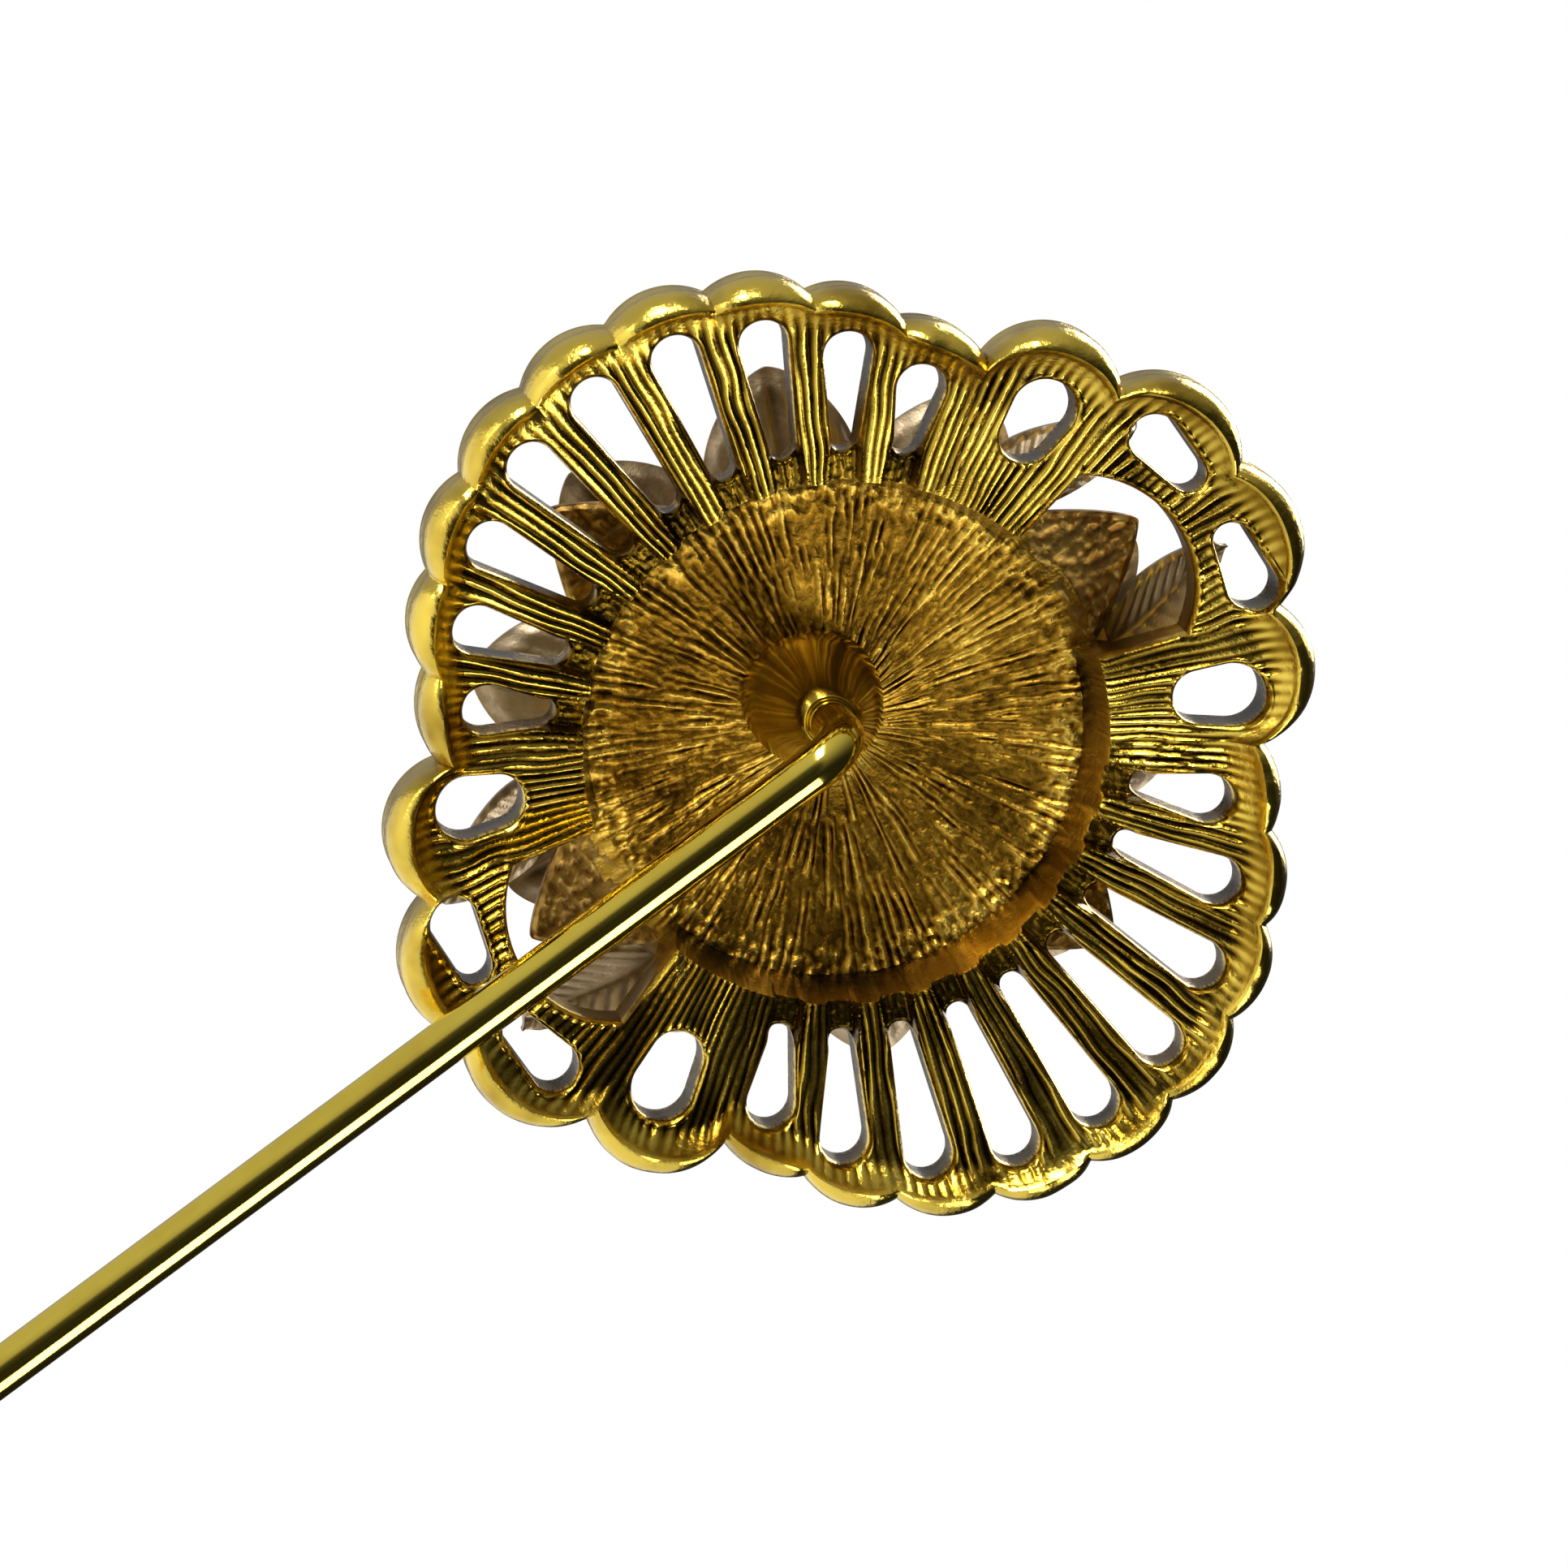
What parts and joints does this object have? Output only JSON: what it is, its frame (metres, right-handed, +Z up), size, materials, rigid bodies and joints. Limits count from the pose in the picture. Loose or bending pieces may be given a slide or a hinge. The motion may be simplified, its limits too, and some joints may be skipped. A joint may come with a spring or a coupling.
{
  "type": "hat pin",
  "caption": "Hat pin: openwork scalloped ornament with petal layers and a pearl, soldered to a bent wire stem with a slide-off point guard.",
  "frame": {"origin": "on the stem's axis at the top of its straight run, where the bend to the ornament starts", "axes": "+Z up along the stem towards the ornament, -Z towards the point; the ornament's front faces -Y, its back and the stem +Y; +X to the right seen from the front"},
  "size_m": [0.0277, 0.0151, 0.1134],
  "materials": {
    "gold_cast": "gold-toned cast alloy, polished on the high spots, dark in the hollows",
    "gold_front": "gold-toned cast petals, slightly sandy",
    "gold_wire": "polished gold-toned wire",
    "solder": "plated solder, smooth and glossy",
    "pearl": "cream imitation pearl, lustrous",
    "nylon": "natural nylon",
    "guard_metal": "gold-toned turned sleeve, satin"
  },
  "bodies": {
    "pin": {"openwork_frame": "gold_cast", "petal_dish": "gold_cast", "leaf_spray_upper": "gold_front", "leaf_spray_lower": "gold_front", "outer_petals": "gold_front", "inner_petals": "gold_front", "pearl_cup": "gold_front", "pearl": "pearl", "centre_rivet": "gold_wire", "solder_boss": "solder", "pin_stem": "gold_wire"},
    "guard": {"guard_shell": "guard_metal", "guard_liner": "nylon", "guard_cap": "guard_metal"}
  },
  "joints": [
    {"name": "guard_slide", "type": "slide", "parent": "pin", "child": "guard", "axis": [0, 0, -1], "range_m": [0, 0.03]}
  ]
}
